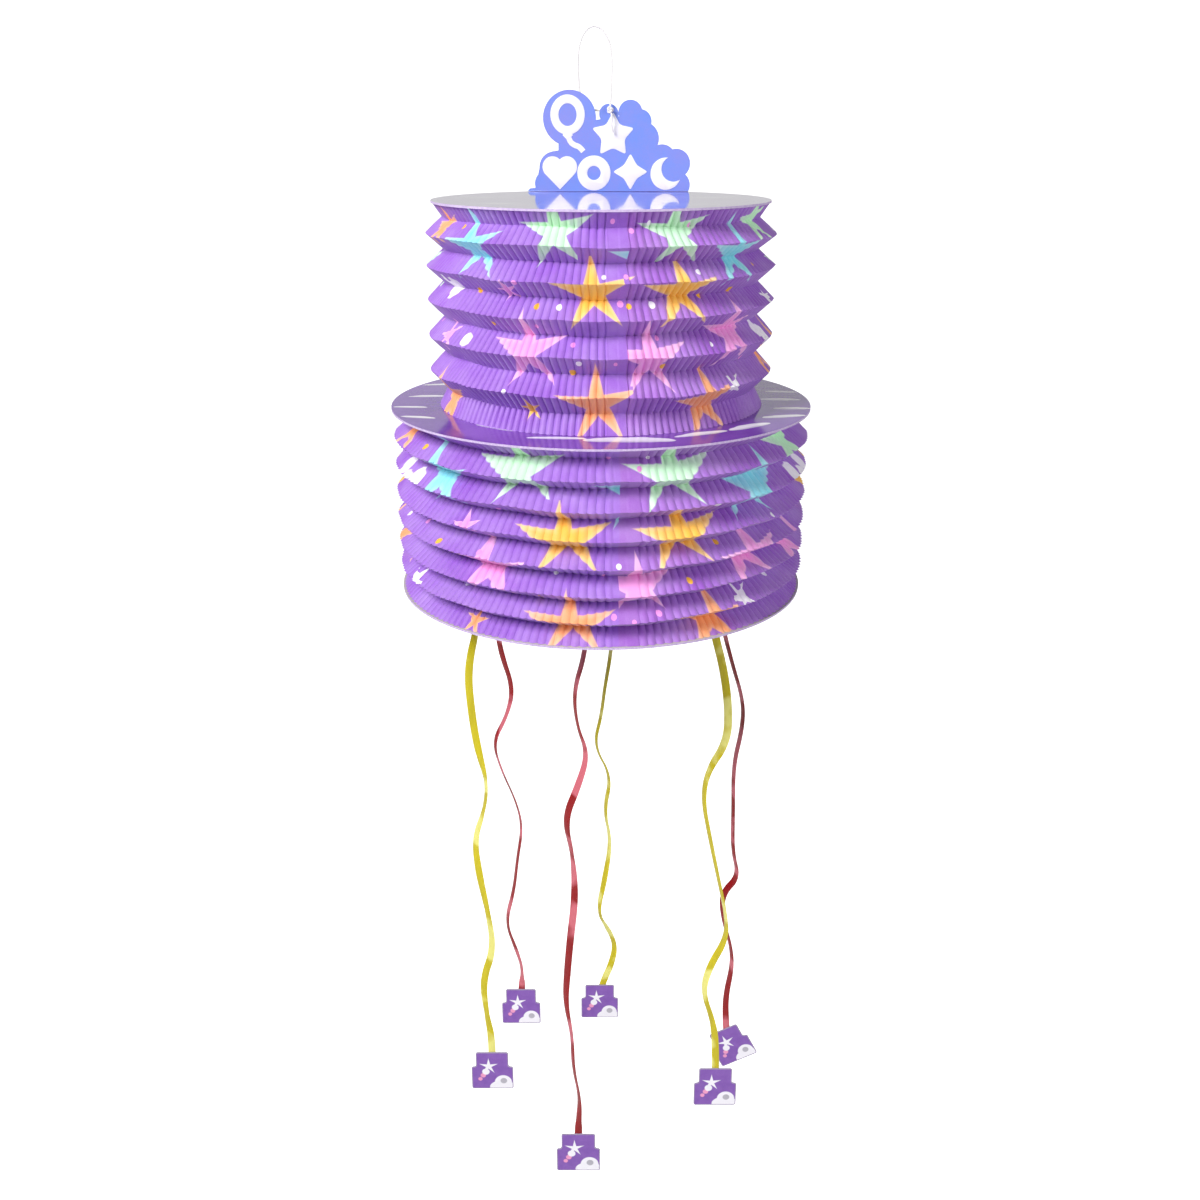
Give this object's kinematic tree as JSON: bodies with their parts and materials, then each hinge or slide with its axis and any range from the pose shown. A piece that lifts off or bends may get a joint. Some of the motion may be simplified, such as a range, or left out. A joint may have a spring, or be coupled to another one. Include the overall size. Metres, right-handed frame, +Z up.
{
  "type": "pinata",
  "caption": "Hanging two-tier paper pinata with pleated star-print bellows, header card, fill flap and trap door, and curling pull ribbons with small tags.",
  "frame": {"origin": "middle of the cord at the top of the hanging loop, where a hook or ceiling string bears", "axes": "+Z up, +X to the right seen from the front, +Y from the front of the pinata towards the header card at its back"},
  "size_m": [0.25, 0.25, 0.7328],
  "materials": {
    "disc_print": "gloss laminated print on grey board",
    "bellows_paper": "matte printed paper, fluted and pleated",
    "header_print": "satin printed card",
    "white_cord": "white polyester cord",
    "yellow_ribbon": "shiny polypropylene curling ribbon",
    "red_ribbon": "shiny polypropylene curling ribbon",
    "tag_print": "satin printed card"
  },
  "bodies": {
    "top": {"top_disc": "disc_print", "header_foot": "header_print", "upper_bellows": "bellows_paper"},
    "header": {"header_card": "header_print", "hang_cord": "white_cord", "hang_knot": "white_cord"},
    "fill_flap": {"fill_flap": "disc_print"},
    "tier": {"tier_disc": "disc_print", "lower_bellows": "bellows_paper"},
    "bottom": {"bottom_disc": "disc_print", "ribbon_1": "yellow_ribbon", "ribbon_knot_1": "yellow_ribbon", "tag_1": "tag_print", "ribbon_2": "red_ribbon", "ribbon_knot_2": "red_ribbon", "tag_2": "tag_print", "ribbon_4": "yellow_ribbon", "ribbon_knot_4": "yellow_ribbon", "tag_4": "tag_print", "ribbon_5": "yellow_ribbon", "ribbon_knot_5": "yellow_ribbon", "tag_5": "tag_print", "ribbon_6": "red_ribbon", "ribbon_knot_6": "red_ribbon", "tag_6": "tag_print"},
    "trap_door": {"trap_door": "disc_print", "ribbon_knot_3": "red_ribbon"},
    "pull_ribbon": {"ribbon_3": "red_ribbon", "tag_3": "tag_print"}
  },
  "joints": [
    {"name": "upper_collapse", "type": "slide", "parent": "top", "child": "tier", "axis": [0, 0, 1], "range_m": [0, 0.104], "deforming": ["upper_bellows"]},
    {"name": "lower_collapse", "type": "slide", "parent": "tier", "child": "bottom", "axis": [0, 0, 1], "range_m": [0, 0.097], "deforming": ["lower_bellows"]},
    {"name": "header_fold", "type": "hinge", "parent": "top", "child": "header", "pos_m": [0.004, 0, -0.0951], "axis": [1, 0, 0], "range_deg": [0, 80]},
    {"name": "fill_flap_hinge", "type": "hinge", "parent": "top", "child": "fill_flap", "pos_m": [0.004, -0.099, -0.0955], "axis": [-1, 0, 0], "range_deg": [0, 95]},
    {"name": "trap_door_hinge", "type": "hinge", "parent": "bottom", "child": "trap_door", "pos_m": [0.00212, -0.0969, -0.3236], "axis": [0.9945, -0.1045, 0], "range_deg": [0, 95]},
    {"name": "pull_ribbon_swing", "type": "hinge", "parent": "trap_door", "child": "pull_ribbon", "pos_m": [-0.00457, -0.16055, -0.323], "axis": [0.9945, -0.1045, 0], "range_deg": [-95, 0]}
  ],
  "couplings": [
    {"joint": "pull_ribbon_swing", "follows": "trap_door_hinge", "ratio": -1}
  ]
}
